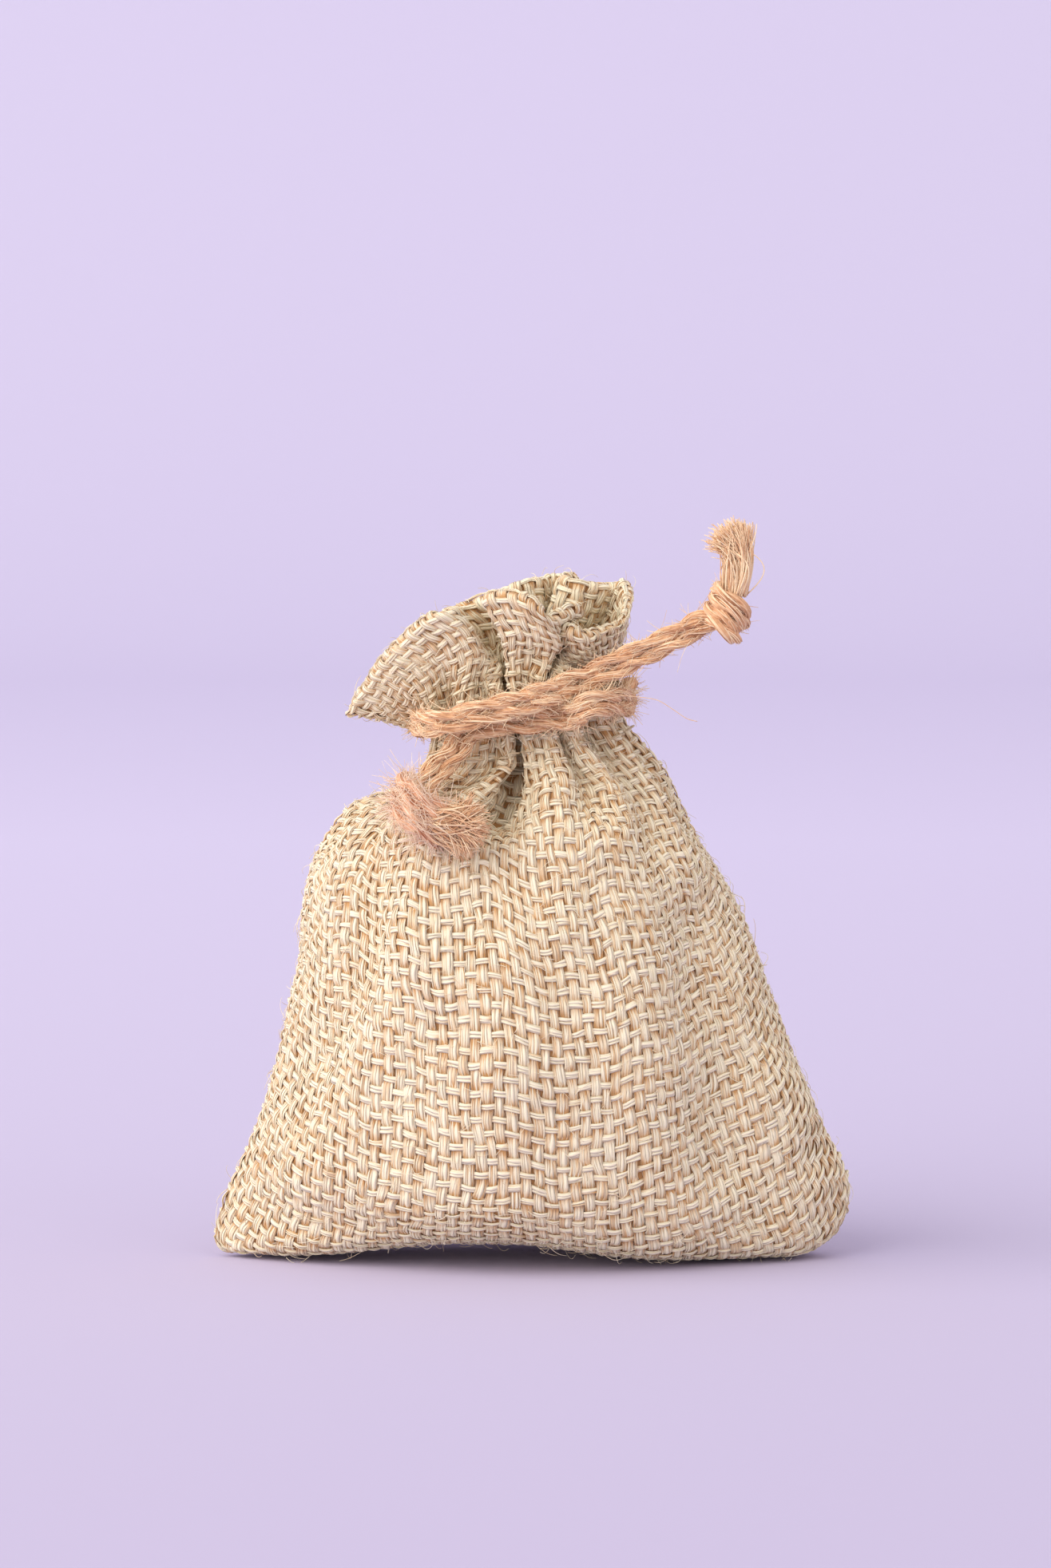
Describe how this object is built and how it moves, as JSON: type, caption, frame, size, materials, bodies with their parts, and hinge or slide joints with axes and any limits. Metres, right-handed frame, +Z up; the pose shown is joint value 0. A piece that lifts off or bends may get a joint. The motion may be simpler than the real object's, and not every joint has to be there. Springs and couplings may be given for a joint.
{
  "type": "drawstring gift pouch",
  "caption": "Small filled pouch of coarse woven cloth, gathered at the neck and tied in front with two knotted jute drawstrings.",
  "frame": {"origin": "on the surface the pouch stands on, under the middle of the pouch", "axes": "+Z up, +X to the right of the tied side, -Y towards the tied side"},
  "size_m": [0.084, 0.0501, 0.0987],
  "materials": {
    "burlap_cloth": "coarse plain weave of flat straw-coloured yarns, matt",
    "burlap_inside": "coarse plain weave, inside face, matt",
    "sewing_thread": "spun polyester thread, slightly shiny",
    "jute_string": "two-ply twisted jute, hairy, orange tan",
    "wadding": "soft loose filling"
  },
  "bodies": {
    "pouch": {"front_panel": "burlap_cloth", "back_panel": "burlap_cloth", "hem_facing": "burlap_inside", "left_side_seam": "burlap_inside", "right_side_seam": "burlap_inside", "casing_stitch_lower": "sewing_thread", "casing_stitch_upper": "sewing_thread", "filling_wad": "wadding", "drawstring_a_casing_loop": "jute_string", "drawstring_a_wrap_lower": "jute_string", "drawstring_a_wrap_upper": "jute_string", "drawstring_b_casing_loop": "jute_string", "drawstring_b_wrap_lower": "jute_string", "drawstring_b_wrap_upper": "jute_string"},
    "drawstring_a_root": {"drawstring_a_root_lower": "jute_string", "drawstring_a_root_upper": "jute_string"},
    "drawstring_a_end": {"drawstring_a_tail_lower": "jute_string", "drawstring_a_tail_upper": "jute_string", "drawstring_a_knot": "jute_string", "drawstring_a_tassel": "jute_string"},
    "drawstring_b_root": {"drawstring_b_root_lower": "jute_string", "drawstring_b_root_upper": "jute_string"},
    "drawstring_b_end": {"drawstring_b_tail_lower": "jute_string", "drawstring_b_tail_upper": "jute_string", "drawstring_b_knot": "jute_string", "drawstring_b_tassel": "jute_string"}
  },
  "joints": [
    {"name": "drawstring_a_pull", "type": "slide", "parent": "pouch", "child": "drawstring_a_root", "axis": [0.8995, 0, 0.437], "range_m": [0, 0.003]},
    {"name": "drawstring_a_swing", "type": "hinge", "parent": "drawstring_a_root", "child": "drawstring_a_end", "pos_m": [0.0085, -0.0123, 0.07825], "axis": [-0.437, 0, 0.8995], "range_deg": [-60, 20]},
    {"name": "drawstring_b_pull", "type": "slide", "parent": "pouch", "child": "drawstring_b_root", "axis": [-0.9, 0.1, -0.4243], "range_m": [0, 0.0025]},
    {"name": "drawstring_b_swing", "type": "hinge", "parent": "drawstring_b_root", "child": "drawstring_b_end", "pos_m": [-0.00975, -0.0133, 0.0684], "axis": [-1, 0, 0], "range_deg": [0, 50]}
  ]
}
